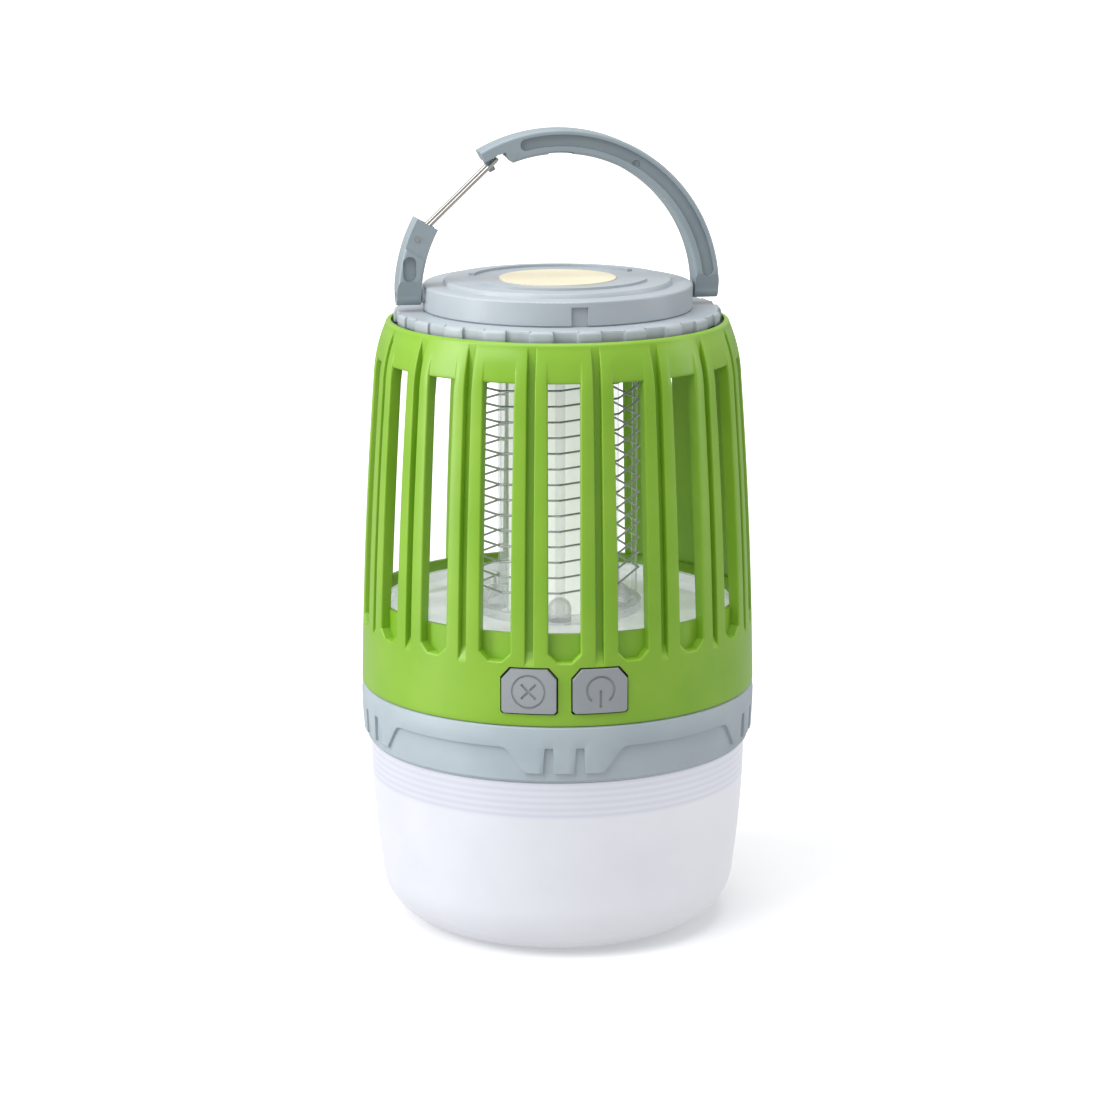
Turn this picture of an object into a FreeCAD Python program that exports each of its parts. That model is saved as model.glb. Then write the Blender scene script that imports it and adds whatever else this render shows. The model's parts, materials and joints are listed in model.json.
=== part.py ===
import FreeCAD, Part
import math
import os

# Rechargeable lantern with an insect grid: millimetres, +Z up, front (the buttons) toward -Y,
# origin at the centre of the lamp shade's flat bottom.
os.makedirs("parts", exist_ok=True)
V = FreeCAD.Vector

# ---- driving dimensions -------------------------------------------------------------------------
STAVES = 18
STAVE_STEP = 360.0 / STAVES
CAP_TURN = 9.0

SHADE_BOTTOM_R = 28.0
SHADE_WALL = 2.0
SHADE_TOP_Z = 42.4

NECK_R = 39.6
NECK_CREST_R = 40.6
SHADE_BORE_R = 40.9
SHADE_CREST_R = 39.9
NECK_BOTTOM_Z = 32.2
SHADE_PITCH = 3.0
SHADE_TURNS = 2.0

COLLAR_BOTTOM_Z = 42.7
COLLAR_TOP_Z = 55.8
COLLAR_RECESS_R = 44.3
APRON_STEP_Z = 51.0
APRON_FOOT_Z = 45.05
MOTIFS = 5
MOTIF_TOP_ANGLE = 18.2
MOTIF_FOOT_ANGLE = 11.4
FLOOR_Z = 34.2
FLOOR_T = 2.0

CAGE_BOTTOM_Z = 55.9
CAGE_TOP_Z = 139.5
CAGE_WALL_R = 42.4
WINDOW_W = 7.0
WINDOW_LOW_Z = 70.2
WINDOW_TOP_Z = 131.0
WINDOW_CHAMFER = 1.9
CAGE_SPLIT_Z = WINDOW_LOW_Z + WINDOW_CHAMFER
GROOVE_W = 1.75
RIM_BORE_R = 37.7
CAP_BORE_R = 36.9
CAP_BORE_CREST_R = 35.9
CAP_LEDGE_Z = 138.0

BUTTON_ANGLE = 10.0
BUTTON_HALF_W = 6.05
BUTTON_LOW_Z = 59.0
BUTTON_TOP_Z = 68.8
BUTTON_FACE_R = 45.55
BUTTON_GAP = 0.35
STEM_Z = 65.4
STEM_R = 1.4

CAP_RING_R = 37.05
CAP_RING_ROOT_R = 36.3
CAP_CORE_R = 35.6
CAP_CREST_R = 36.6
CAP_RING_TOP_Z = 141.8
CAP_PLUG_LOW_Z = 131.8
CAP_PITCH = 2.5
KNURLS = 22

DISC_R = 30.5
DISC_LOW_Z = 141.85
DISC_TOP_Z = 147.45
DISC_STEP_R = 25.7
DISC_FACE_Z = 148.45
DISC_CEILING_Z = 146.6
LABEL_R = 13.2

HANDLE_OUT_R = 36.85
HANDLE_IN_R = 31.4
HANDLE_CENTRE_Z = 145.3
HANDLE_T = 6.9
PIVOT_Z = 145.4
PIVOT_END_R = 2.15
LEG_CLIP_Z = 149.0
LEG_LOW_ANGLE = -4.0
NOSE_ANGLE = 119.5
STUB_ANGLE = 151.5
AXLE_R = 0.9
GATE_PIVOT = (-32.35, 158.4)
GATE_END = (-14.2, 175.5)
GATE_WIRE_R = 0.5
GATE_HALF_GAP = 1.7

CHAMBER_FLOOR_Z = 70.9
CHAMBER_FLOOR_T = 1.5
POST_IN_R = 17.0
GRID_R = 18.65
GRID_WIRE_R = 0.25
GRID_STEP = 3.55
GRID_LOW_Z = 77.0
GRID_TURNS = 7.5
TUBE_R = 11.3
GRID_TOP_Z = 133.8
LED_RING_R = 14.2
LED_R = 2.65

BOARD_Z = 62.0
BOARD_T = 1.6
BOARD_R = 36.0
BOSS_R = 33.0
CELL_R = 9.1
CELL_LEN = 65.0
CELL_Z = 50.0


# ---- helpers ------------------------------------------------------------------------------------
def line(a, b):
    """A straight edge between two (radius, height) points."""
    return Part.LineSegment(V(a[0], 0, a[1]), V(b[0], 0, b[1])).toShape()


def arc(a, m, b):
    """A circular edge through three (radius, height) points."""
    return Part.Arc(V(a[0], 0, a[1]), V(m[0], 0, m[1]), V(b[0], 0, b[1])).toShape()


def turned(edges):
    """A body of revolution about Z from closed profile edges."""
    face = Part.Face(Part.Wire(edges))
    return face.revolve(V(0, 0, 0), V(0, 0, 1), 360)


def turned_polygon(points):
    """A body of revolution about Z from (radius, height) corners."""
    return turned([line(a, b) for a, b in zip(points, points[1:] + points[:1])])


def tube(r_in, r_out, z_low, z_high):
    """A plain ring."""
    h = z_high - z_low
    ring = Part.makeCylinder(r_out, h, V(0, 0, z_low))
    return ring.cut(Part.makeCylinder(r_in, h, V(0, 0, z_low)))


def around(shape, angle):
    """The shape turned about Z; angle 0 is the front, and it grows toward +X."""
    copy = shape.copy()
    copy.rotate(V(0, 0, 0), V(0, 0, 1), angle)
    return copy


def sector(r_in, r_out, z_low, z_high, start, end):
    """A ring segment between two angles counted from the front."""
    h = z_high - z_low
    sweep = end - start
    outer = Part.makeCylinder(r_out, h, V(0, 0, z_low), V(0, 0, 1), sweep)
    inner = Part.makeCylinder(r_in, h, V(0, 0, z_low), V(0, 0, 1), sweep)
    piece = outer.cut(inner)
    piece.rotate(V(0, 0, 0), V(0, 0, 1), start - 90)
    return piece


def prism(outline, r_in, r_out, angle=0.0):
    """An outline of (sideways, height) points extruded radially outward at an angle."""
    corners = [V(s, -r_in, z) for s, z in outline]
    face = Part.Face(Part.makePolygon(corners + corners[:1]))
    return around(face.extrude(V(0, r_in - r_out, 0)), angle)


def rod(r, start, end):
    """A round bar between two points."""
    d = V(*end) - V(*start)
    return Part.makeCylinder(r, d.Length, V(*start), d)


def box(x0, x1, y0, y1, z0, z1):
    """A rectangular block."""
    return Part.makeBox(x1 - x0, y1 - y0, z1 - z0, V(x0, y0, z0))


def polar(r, angle, z):
    """A point at a radius and an angle counted from the front."""
    a = math.radians(angle)
    return (r * math.sin(a), -r * math.cos(a), z)


def thread(r_root, r_crest, pitch, turns, z_start, root_w, crest_w):
    """A right-hand helical ridge that starts buried in its wall and stands out to r_crest."""
    side = 1 if r_crest > r_root else -1
    r_buried = r_root - 0.3 * side
    path = Part.makeHelix(pitch, pitch * turns, r_root)
    corners = [
        V(r_buried, 0, -root_w / 2),
        V(r_crest, 0, -crest_w / 2),
        V(r_crest, 0, crest_w / 2),
        V(r_buried, 0, root_w / 2),
    ]
    sweep = Part.BRepOffsetAPI.MakePipeShell(Part.Wire(path.Edges))
    sweep.setFrenetMode(True)
    sweep.add(Part.makePolygon(corners + corners[:1]))
    sweep.build()
    sweep.makeSolid()
    ridge = sweep.shape()
    ridge.translate(V(0, 0, z_start))
    return ridge


def bent_wire(points, r):
    """A round wire along straight runs with mitred corners."""
    path = [V(*p) for p in points]
    section = Part.Wire([Part.makeCircle(r, path[0], path[1] - path[0])])
    sweep = Part.BRepOffsetAPI.MakePipeShell(Part.makePolygon(path))
    sweep.setTransitionMode(2)
    sweep.add(section)
    sweep.build()
    sweep.makeSolid()
    return sweep.shape()


def cap_screw_places():
    """The three screw centres of the cap, counted before the cap's own turn."""
    return [polar(20.0, a, 0) for a in (0.0, 120.0, 240.0)]


def save(shape, name):
    """Write one node; every node is a clean single solid or a small compound."""
    shape.exportStep("parts/" + name + ".step")


# ---- lamp shade ---------------------------------------------------------------------------------
def lamp_shade():
    """Translucent bowl that screws on the neck; female thread inside its mouth."""
    t = SHADE_WALL
    edges = [
        line((0, 0), (SHADE_BOTTOM_R, 0)),
        arc((SHADE_BOTTOM_R, 0), (37.4, 3.9), (41.0, 12.9)),
        arc((41.0, 12.9), (42.35, 24.5), (43.15, 39.0)),
        line((43.15, 39.0), (43.1, SHADE_TOP_Z)),
        line((43.1, SHADE_TOP_Z), (42.5, SHADE_TOP_Z)),
        line((42.5, SHADE_TOP_Z), (42.5, 41.85)),
        line((42.5, 41.85), (SHADE_BORE_R, 41.85)),
        line((SHADE_BORE_R, 41.85), (SHADE_BORE_R, 32.4)),
        arc((SHADE_BORE_R, 32.4), (40.3, 24.0), (39.0, 13.2)),
        arc((39.0, 13.2), (36.0, 5.4), (SHADE_BOTTOM_R, t)),
        line((SHADE_BOTTOM_R, t), (0, t)),
        line((0, t), (0, 0)),
    ]
    bowl = turned(edges)
    ridge = thread(SHADE_BORE_R, SHADE_CREST_R, SHADE_PITCH, SHADE_TURNS, 34.1, 1.5, 0.9)
    return bowl.fuse(ridge)


def shade_seal():
    """Flat soft ring lying on the shade's mouth."""
    return tube(41.1, 42.2, 41.9, 42.62)


# ---- base housing -------------------------------------------------------------------------------
def base_housing():
    """Grey collar with its threaded neck, lamp floor, board posts and raised apron."""
    body = turned_polygon([
        (0, FLOOR_Z),
        (37.0, FLOOR_Z),
        (37.0, NECK_BOTTOM_Z),
        (NECK_R, NECK_BOTTOM_Z),
        (NECK_R, COLLAR_BOTTOM_Z),
        (43.4, COLLAR_BOTTOM_Z),
        (44.0, 43.4),
        (COLLAR_RECESS_R, 47.0),
        (COLLAR_RECESS_R, COLLAR_TOP_Z),
        (42.25, COLLAR_TOP_Z),
        (42.25, 57.4),
        (40.6, 57.4),
        (40.6, 46.4),
        (37.4, 45.0),
        (37.4, FLOOR_Z + FLOOR_T),
        (0, FLOOR_Z + FLOOR_T),
    ])
    body = body.fuse(collar_apron())
    ridge = thread(NECK_R, NECK_CREST_R, SHADE_PITCH, SHADE_TURNS, 35.6, 1.5, 0.9)
    body = body.fuse(ridge)
    posts = []
    holes = []
    for a in (45.0, 135.0, 225.0, 315.0):
        x, y, z = polar(BOSS_R, a, FLOOR_Z + 1.0)
        posts.append(Part.makeCylinder(2.7, BOARD_Z - z, V(x, y, z)))
        holes.append(Part.makeCylinder(1.02, 8.0, V(x, y, BOARD_Z - 7.0)))
    body = body.fuse(posts).cut(holes)
    lamp_holes = [Part.makeCylinder(1.02, 4.0, V(x, 0, 32.0)) for x in (-24.0, 24.0)]
    return body.cut(lamp_holes)


def collar_apron():
    """Raised outer band of the collar; it drops to the foot in five notched motifs."""
    band = turned_polygon([
        (43.8, APRON_FOOT_Z),
        (44.7, APRON_FOOT_Z),
        (44.88, APRON_FOOT_Z + 0.25),
        (45.15, APRON_STEP_Z),
        (45.2, 54.0),
        (45.05, 55.4),
        (44.7, COLLAR_TOP_Z),
        (43.8, COLLAR_TOP_Z),
    ])
    pitch = 360.0 / MOTIFS
    lean = math.radians(MOTIF_TOP_ANGLE - MOTIF_FOOT_ANGLE) * 45.0
    cutters = []
    for k in range(MOTIFS):
        middle = k * pitch
        first = middle + MOTIF_TOP_ANGLE
        last = middle + pitch - MOTIF_TOP_ANGLE
        cutters.append(sector(40.0, 47.0, 42.0, APRON_STEP_Z, first, last))
        for side in (-1, 1):
            flank = [
                (side * 0.05, APRON_STEP_Z),
                (side * -0.9, APRON_STEP_Z - 0.25),
                (side * -1.8, APRON_STEP_Z - 1.0),
                (side * (0.5 - lean), APRON_FOOT_Z + 0.9),
                (side * -lean, APRON_FOOT_Z - 0.1),
                (side * -lean, 42.0),
                (side * 0.05, 42.0),
            ]
            cutters.append(prism(flank, 40.0, 47.0, middle + side * MOTIF_TOP_ANGLE))
            notch = [(-1.4, 43.0), (1.4, 43.0), (0.9, APRON_STEP_Z), (-0.9, APRON_STEP_Z)]
            cutters.append(prism(notch, 40.0, 47.0, middle + side * 4.4))
    return band.cut(cutters)


# ---- cage ---------------------------------------------------------------------------------------
def cage():
    """Green guard as its lower band with the inner lip, its eighteen staves and its top band."""
    edges = [
        line((CAGE_WALL_R, CAGE_BOTTOM_Z), (44.6, CAGE_BOTTOM_Z)),
        arc((44.6, CAGE_BOTTOM_Z), (44.93, 56.03), (45.1, 56.4)),
        arc((45.1, 56.4), (44.05, 89.0), (41.75, 126.0)),
        arc((41.75, 126.0), (41.0, 132.2), (38.95, 138.6)),
        arc((38.95, 138.6), (38.6, 139.3), (38.2, CAGE_TOP_Z)),
        line((38.2, CAGE_TOP_Z), (RIM_BORE_R, CAGE_TOP_Z)),
        line((RIM_BORE_R, CAGE_TOP_Z), (RIM_BORE_R, CAP_LEDGE_Z)),
        line((RIM_BORE_R, CAP_LEDGE_Z), (CAP_BORE_R, CAP_LEDGE_Z)),
        line((CAP_BORE_R, CAP_LEDGE_Z), (CAP_BORE_R, 131.8)),
        line((CAP_BORE_R, 131.8), (38.4, 131.2)),
        line((38.4, 131.2), (39.1, 126.0)),
        arc((39.1, 126.0), (41.3, 92.0), (42.1, 77.0)),
        line((42.1, 77.0), (CAGE_WALL_R, 66.0)),
        line((CAGE_WALL_R, 66.0), (CAGE_WALL_R, CAGE_BOTTOM_Z)),
    ]
    shell = turned(edges)
    c = WINDOW_CHAMFER
    w = WINDOW_W / 2
    window = [
        (-w, WINDOW_TOP_Z),
        (-w, WINDOW_LOW_Z + c),
        (c - w, WINDOW_LOW_Z),
        (w - c, WINDOW_LOW_Z),
        (w, WINDOW_LOW_Z + c),
        (w, WINDOW_TOP_Z),
    ]
    groove = [
        V(48, 0, 69.3),
        V(44.9, 0, 69.3),
        V(43.1, 0, 72.6),
        V(42.5, 0, 88.0),
        V(41.4, 0, 107.0),
        V(40.1, 0, 126.0),
        V(39.3, 0, 133.0),
        V(39.0, 0, 139.0),
        V(48, 0, 139.0),
    ]
    strip = Part.Face(Part.makePolygon(groove + groove[:1])).extrude(V(0, GROOVE_W, 0))
    strip.translate(V(0, -GROOVE_W / 2, 0))
    cutters = []
    for k in range(STAVES):
        cutters.append(prism(window, 34.0, 48.0, k * STAVE_STEP))
        cutters.append(around(strip, (k + 0.5) * STAVE_STEP - 90))
    ridge = thread(CAP_BORE_R, CAP_BORE_CREST_R, CAP_PITCH, 1.25, 133.85, 1.25, 0.75)
    shell = shell.cut(cutters)
    low_zone = tube(30.0, 50.0, CAGE_BOTTOM_Z - 1, CAGE_SPLIT_Z)
    mid_zone = tube(30.0, 50.0, CAGE_SPLIT_Z, WINDOW_TOP_Z)
    top_zone = tube(30.0, 50.0, WINDOW_TOP_Z, CAGE_TOP_Z + 1)
    lip = turned_polygon([
        (42.5, 69.5),
        (38.8, 69.5),
        (38.8, CHAMBER_FLOOR_Z),
        (40.2, CHAMBER_FLOOR_Z),
        (40.2, 74.7),
        (41.3, 76.2),
        (42.5, 76.2),
    ])
    pockets = [prism(button_outline(BUTTON_GAP), 41.0, 48.0, s * BUTTON_ANGLE) for s in (-1, 1)]
    lower = shell.common(low_zone).fuse(lip).cut(pockets + port_cutters())
    staves = shell.common(mid_zone).cut(lip)
    top = shell.common(top_zone).fuse(ridge)
    return lower, staves, top


def port_cutters():
    """Rear opening, flap pocket, flap hinge pocket and the charge light hole."""
    opening = [(-5.2, 62.9), (5.2, 62.9), (5.2, 67.5), (-5.2, 67.5)]
    pocket = [(-7.8, 60.6), (7.8, 60.6), (7.8, 69.0), (-7.8, 69.0)]
    barrel = [(-6.3, 59.2), (6.3, 59.2), (6.3, 61.8), (-6.3, 61.8)]
    light = rod(1.15, polar(40.0, 162.0, 65.0), polar(47.0, 162.0, 65.0))
    pin = rod(0.43, (-8.2, 44.2, 60.5), (8.2, 44.2, 60.5))
    return [
        prism(opening, 38.0, 48.0, 180.0),
        prism(pocket, 41.0, 48.0, 180.0).common(tube(43.6, 49.0, 55, 72)),
        prism(barrel, 42.9, 48.0, 180.0),
        light,
        pin,
    ]


# ---- buttons ------------------------------------------------------------------------------------
def button_outline(grow):
    """Front outline of a key: square foot, cut top corners."""
    w = BUTTON_HALF_W + grow
    low = BUTTON_LOW_Z - grow
    top = BUTTON_TOP_Z + grow
    return [
        (0.5 - w, low),
        (w - 0.5, low),
        (w, low + 0.5),
        (w, top - 2.3),
        (w - 2.0, top),
        (2.0 - w, top),
        (-w, top - 2.3),
        (-w, low + 0.5),
    ]


def button(side, marks):
    """A key with its retaining flange and the stem that works the switch."""
    key = prism(button_outline(0.0), 40.0, 48.0).common(tube(41.5, BUTTON_FACE_R, 55, 72))
    flange = prism(button_outline(0.9), 38.0, 44.0).common(tube(40.9, 41.9, 55, 69.2))
    stem = rod(STEM_R, (0, -41.2, STEM_Z), (0, -35.2, STEM_Z))
    whole = key.fuse([flange, stem]).cut(marks)
    return around(whole, side * BUTTON_ANGLE)


def ring_mark(r_in, r_out, start, sweep, z):
    """A shallow round engraving on the key face, from a start angle counted from the right."""
    centre = V(0, -48.0, z)
    outer = Part.makeCylinder(r_out, 2.8, centre, V(0, 1, 0), sweep)
    inner = Part.makeCylinder(r_in, 2.8, centre, V(0, 1, 0), sweep)
    piece = outer.cut(inner)
    piece.rotate(centre, V(0, 1, 0), start)
    return piece


def cross_marks():
    """A plain ring with a four-armed cross."""
    z = 63.9
    marks = [ring_mark(3.35, 3.85, 0, 360, z)]
    for a in (45, 135):
        bar = box(-2.3, 2.3, -48.0, -45.2, z - 0.28, z + 0.28)
        bar.rotate(V(0, 0, z), V(0, 1, 0), a)
        marks.append(bar)
    return marks


def power_marks():
    """A broken ring open at the foot and an upright bar."""
    z = 64.1
    arc_mark = ring_mark(2.75, 3.3, 0, 280, z)
    arc_mark.rotate(V(0, 0, z), V(0, 1, 0), opening_turn(arc_mark, z))
    return [arc_mark, box(-0.28, 0.28, -48.0, -45.2, z - 3.9, z)]


def opening_turn(piece, z):
    """The turn about the key's normal that brings the open part of the ring to the foot."""
    c = piece.Solids[0].CenterOfMass
    return math.degrees(math.atan2(-c.x, c.z - z))


# ---- rear port ----------------------------------------------------------------------------------
def port_flap():
    """Soft cover over the charging port with its plug rib and hinge barrel."""
    plate = prism([(-7.5, 60.9), (7.5, 60.9), (7.5, 68.7), (-7.5, 68.7)], 40.0, 48.0, 180.0)
    plate = plate.common(tube(43.9, 45.15, 55, 72))
    plug = box(-4.4, 4.4, 42.6, 44.2, 63.7, 66.6)
    barrel = rod(0.95, (-6.0, 44.2, 60.5), (6.0, 44.2, 60.5))
    bore = rod(0.48, (-7.0, 44.2, 60.5), (7.0, 44.2, 60.5))
    return plate.fuse([plug, barrel]).cut(bore)


def flap_pin():
    """Steel wire pin of the flap."""
    return rod(0.42, (-8.0, 44.2, 60.5), (8.0, 44.2, 60.5))


def usb_socket():
    """Charging socket: a folded metal shell with its contact tongue."""
    shell = box(-4.5, 4.5, 34.5, 41.9, BOARD_Z + BOARD_T, BOARD_Z + BOARD_T + 3.2)
    low = BOARD_Z + BOARD_T
    hollow = box(-4.15, 4.15, 35.2, 42.0, low + 0.35, low + 2.85)
    tongue = box(-3.3, 3.3, 35.0, 40.9, low + 1.25, low + 1.95)
    return shell.cut(hollow).fuse(tongue)


def charge_light():
    """Small light pipe standing on the board beside the port."""
    foot = polar(38.4, 162.0, 65.0)
    tip = polar(44.6, 162.0, 65.0)
    x, y, z = polar(38.4, 162.0, BOARD_Z + BOARD_T)
    post = Part.makeCylinder(0.9, 65.0 - z, V(x, y, z))
    return rod(0.9, foot, tip).fuse(post)


# ---- electronics --------------------------------------------------------------------------------
def main_board():
    """Round circuit board with a rear tongue for the charging socket."""
    plate = Part.makeCylinder(BOARD_R, BOARD_T, V(0, 0, BOARD_Z))
    tongue = box(-15.0, 6.0, 30.0, 39.2, BOARD_Z, BOARD_Z + BOARD_T)
    holes = []
    for a in (45.0, 135.0, 225.0, 315.0):
        x, y, z = polar(BOSS_R, a, BOARD_Z - 1)
        holes.append(Part.makeCylinder(1.2, 4.0, V(x, y, z)))
    return plate.fuse(tongue).cut(holes)


def board_screw(angle):
    """Pan head screw of the main board."""
    x, y, z = polar(BOSS_R, angle, BOARD_Z + BOARD_T)
    head = Part.makeCylinder(1.9, 1.3, V(x, y, z))
    slot = box(x - 1.2, x + 1.2, y - 0.2, y + 0.2, z + 0.8, z + 2.0)
    shank = Part.makeCylinder(1.0, 7.6, V(x, y, z - 7.5))
    return head.fuse(shank).cut(slot)


def tact_switch(side):
    """Side-acting switch: box body with the bore its key's stem works in."""
    low = BOARD_Z + BOARD_T
    body = box(-3.0, 3.0, -37.0, -33.0, low, low + 3.6)
    bore = rod(STEM_R + 0.3, (0, -37.5, STEM_Z), (0, -33.9, STEM_Z))
    return around(body.cut(bore), side * BUTTON_ANGLE)


def transformer_core():
    """Ferrite double-E core of the high-voltage coil, under the board."""
    block = box(-8.0, 8.0, 15.5, 28.5, 50.4, BOARD_Z - 1.6)
    windows = [box(x0, x1, 15.0, 29.0, 52.6, 58.2) for x0, x1 in ((-5.6, -2.4), (2.4, 5.6))]
    return block.cut(windows)


def transformer_coil():
    """Wound bobbin round the core's middle limb, with the feet it stands on."""
    coil = box(-5.4, 5.4, 12.8, 31.2, 52.8, 58.0)
    limb = box(-2.4, 2.4, 15.5, 28.5, 52.8, 58.0)
    outer = box(-5.4, 5.4, 15.5, 28.5, 52.8, 58.0)
    ends = [box(-5.4, 5.4, y0, y1, 52.8, BOARD_Z) for y0, y1 in ((12.8, 14.6), (29.4, 31.2))]
    return coil.fuse(ends).cut(limb).common(coil.fuse(ends).fuse(outer))


def film_capacitor():
    """Boxed high-voltage capacitor under the board."""
    body = box(-19.0, -6.0, -27.0, -20.5, 49.5, BOARD_Z - 0.6)
    feet = [rod(0.4, (x, -23.7, BOARD_Z - 1.0), (x, -23.7, BOARD_Z)) for x in (-17.0, -8.0)]
    return body.fuse(feet)


def can_capacitor():
    """Round electrolytic capacitor under the board."""
    body = Part.makeCylinder(4.0, 12.0, V(14.0, -23.0, BOARD_Z - 12.6))
    feet = [rod(0.3, (x, -23.0, BOARD_Z - 1.0), (x, -23.0, BOARD_Z)) for x in (12.7, 15.3)]
    return body.fuse(feet)


def battery_cell():
    """Round lithium cell lying across the base."""
    can = rod(CELL_R, (-CELL_LEN / 2, 0, CELL_Z), (CELL_LEN / 2, 0, CELL_Z))
    nub = rod(3.2, (CELL_LEN / 2, 0, CELL_Z), (CELL_LEN / 2 + 0.7, 0, CELL_Z))
    return can.fuse(nub)


def battery_holder():
    """Cradle with end walls, standing on the lamp floor."""
    low = FLOOR_Z + FLOOR_T
    block = box(-35.4, 35.4, -10.4, 10.4, low, 47.0)
    walls = [box(x0, x1, -8.0, 8.0, low, 55.0) for x0, x1 in ((-35.4, -34.2), (34.2, 35.4))]
    bed = rod(CELL_R + 0.1, (-34.2, 0, CELL_Z), (34.2, 0, CELL_Z))
    pocket = box(-34.2, 34.2, -12.0, 12.0, 45.5, 60.0)
    hollow = box(-30.0, 30.0, -8.4, 8.4, low, 39.6)
    return block.cut([bed, pocket, hollow]).fuse(walls)


def battery_contact(side):
    """Spring plate between the holder's end wall and the cell, with its solder tail."""
    x = side * 34.2
    inner = side * 33.8
    plate = box(min(x, inner), max(x, inner), -4.5, 4.5, 45.6, 57.0)
    depth = 33.2 if side > 0 else -CELL_LEN / 2
    button_end = rod(2.2, (inner, 0, CELL_Z), (depth, 0, CELL_Z))
    tail = box(min(x, inner), max(x, inner), -0.8, 0.8, 57.0, BOARD_Z)
    return plate.fuse([button_end, tail])


def lamp_board():
    """Metal-cored lamp board under the lamp floor."""
    disc = Part.makeCylinder(34.0, 1.2, V(0, 0, FLOOR_Z - 1.2))
    return disc.cut([Part.makeCylinder(1.2, 3.0, V(x, 0, 32.0)) for x in (-24.0, 24.0)])


def lamp_leds():
    """Twelve white lamp chips and the centre one, soldered to the lamp board."""
    top = FLOOR_Z - 1.2
    chips = [box(-1.75, 1.75, -1.75, 1.75, top - 0.8, top)]
    for k in range(12):
        chip = box(-1.75, 1.75, -28.75, -25.25, top - 0.8, top)
        chips.append(around(chip, k * 30.0 + 15.0))
    return Part.makeCompound(chips)


def lamp_screw(x):
    """Screw that holds the lamp board up against the floor."""
    top = FLOOR_Z - 1.2
    head = Part.makeCylinder(1.9, 1.1, V(x, 0, top - 1.1))
    shank = Part.makeCylinder(1.0, 3.0, V(x, 0, top))
    return head.fuse(shank)


# ---- chamber ------------------------------------------------------------------------------------
def post_angles():
    """The eight post directions, one at the front."""
    return [k * 45.0 for k in range(8)]


def lead_angles():
    """Directions of the two high-voltage leads."""
    return (135.0, 225.0)


def led_angles():
    """Directions of the four ultraviolet lamps."""
    return (0.0, 90.0, 180.0, 270.0)


def chamber_floor():
    """Clear dish under the grid with holes for the lamps and the leads."""
    z = CHAMBER_FLOOR_Z
    disc = Part.makeCylinder(40.05, CHAMBER_FLOOR_T, V(0, 0, z + 0.02))
    rim = tube(38.6, 40.05, z + 0.5, z + 3.4)
    bosses = []
    cutters = []
    for a in (60.0, 180.0, 300.0):
        x, y, _ = polar(22.5, a, 0)
        bosses.append(Part.makeCylinder(2.2, 1.8, V(x, y, 69.2)))
    for a in led_angles():
        x, y, _ = polar(LED_RING_R, a, 0)
        cutters.append(Part.makeCylinder(LED_R + 0.15, 4.0, V(x, y, z - 1)))
    for a in lead_angles():
        x, y, _ = polar(20.4, a, 0)
        cutters.append(Part.makeCylinder(0.8, 4.0, V(x, y, z - 1)))
    return disc.fuse([rim] + bosses).cut(cutters)


def uv_board():
    """Ring-shaped board that carries the four ultraviolet lamps."""
    disc = tube(8.0, 26.0, 67.6, 69.2)
    holes = []
    for a in lead_angles():
        x, y, _ = polar(20.4, a, 0)
        holes.append(Part.makeCylinder(0.9, 4.0, V(x, y, 66.0)))
    return disc.cut(holes)


def uv_led(angle):
    """Clear domed ultraviolet lamp standing through the chamber floor."""
    x, y, _ = polar(LED_RING_R, angle, 0)
    foot = Part.makeCylinder(LED_R, 5.9, V(x, y, 69.2))
    dome = Part.makeSphere(LED_R, V(x, y, 75.1))
    return foot.fuse(dome)


def grid_frame():
    """Clear eight-post frame on its foot ring."""
    foot = tube(POST_IN_R, 19.3, CHAMBER_FLOOR_Z + CHAMBER_FLOOR_T + 0.02, 74.4)
    head = tube(POST_IN_R, 19.3, GRID_TOP_Z - 2.0, GRID_TOP_Z)
    outline = [
        V(-1.1, -POST_IN_R - 0.05, 0),
        V(-1.1, -17.85, 0),
        V(-0.25, -18.3, 0),
        V(0.25, -18.3, 0),
        V(1.1, -17.85, 0),
        V(1.1, -POST_IN_R - 0.05, 0),
    ]
    face = Part.Face(Part.makePolygon(outline + outline[:1]))
    post = face.extrude(V(0, 0, GRID_TOP_Z - 73.0))
    post.translate(V(0, 0, 73.0))
    return foot.fuse([head] + [around(post, a) for a in post_angles()])


def grid_wire(first_corner, z_low, turns):
    """Bare steel wire wound round the eight posts."""
    points = []
    for k in range(int(8 * turns) + 1):
        a = first_corner + 45.0 * k
        points.append(polar(GRID_R, a, z_low + GRID_STEP * 2 * k / 8.0))
    return bent_wire(points, GRID_WIRE_R)


def hv_lead(angle, z_wire):
    """Insulated lead from the board up through the floor to the wire's first corner."""
    points = [polar(20.4, angle, BOARD_Z + BOARD_T), polar(20.4, angle, z_wire)]
    points.append(polar(18.95, angle, z_wire))
    return bent_wire(points, 0.6)


def light_tube():
    """Clear tube up the middle of the grid."""
    return tube(TUBE_R - 1.2, TUBE_R, CHAMBER_FLOOR_Z + CHAMBER_FLOOR_T + 0.02, GRID_TOP_Z)


def grid_top():
    """Clear lid ring that ties the posts and the tube at the top."""
    plate = tube(6.0, 19.3, GRID_TOP_Z + 0.02, GRID_TOP_Z + 1.8)
    step = tube(6.0, TUBE_R - 1.3, GRID_TOP_Z - 1.0, GRID_TOP_Z + 0.5)
    return plate.fuse(step)


# ---- cap ----------------------------------------------------------------------------------------
def cap_seal():
    """Flat soft ring under the knurled flange."""
    return tube(36.0, 37.35, 138.06, 138.98)


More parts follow.
